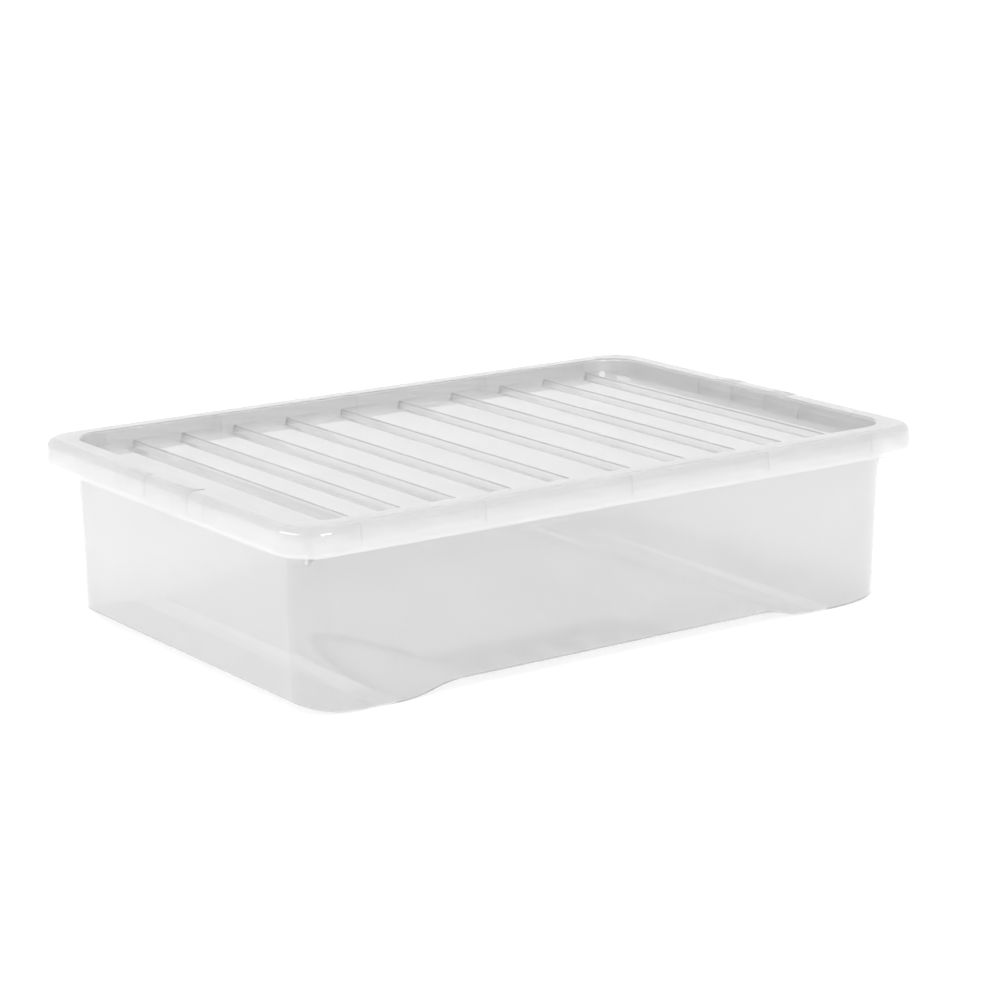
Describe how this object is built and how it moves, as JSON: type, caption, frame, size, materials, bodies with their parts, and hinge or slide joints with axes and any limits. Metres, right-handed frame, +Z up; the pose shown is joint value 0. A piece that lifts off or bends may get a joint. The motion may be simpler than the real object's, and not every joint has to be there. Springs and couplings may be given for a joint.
{
  "type": "under-bed storage box",
  "caption": "Long, low storage box in clear moulded plastic: an open tub with a rolled rim on rounded feet, and a lift-off lid with a recessed, fluted panel.",
  "frame": {"origin": "on the ground, under the middle of the box with its lid on", "axes": "+X along the length, +Y along the depth, +Z up"},
  "size_m": [0.71, 0.475, 0.175],
  "materials": {
    "clear_tub": "clear moulded polypropylene, slightly hazy, glossy",
    "clear_lid": "clear moulded polypropylene, slightly milky, satin gloss"
  },
  "bodies": {
    "tub": {"tub": "clear_tub"},
    "lid": {"lid": "clear_lid"}
  },
  "joints": [
    {"name": "lid_lift", "type": "slide", "parent": "tub", "child": "lid", "axis": [0, 0, 1], "range_m": [0, 0.2]}
  ]
}
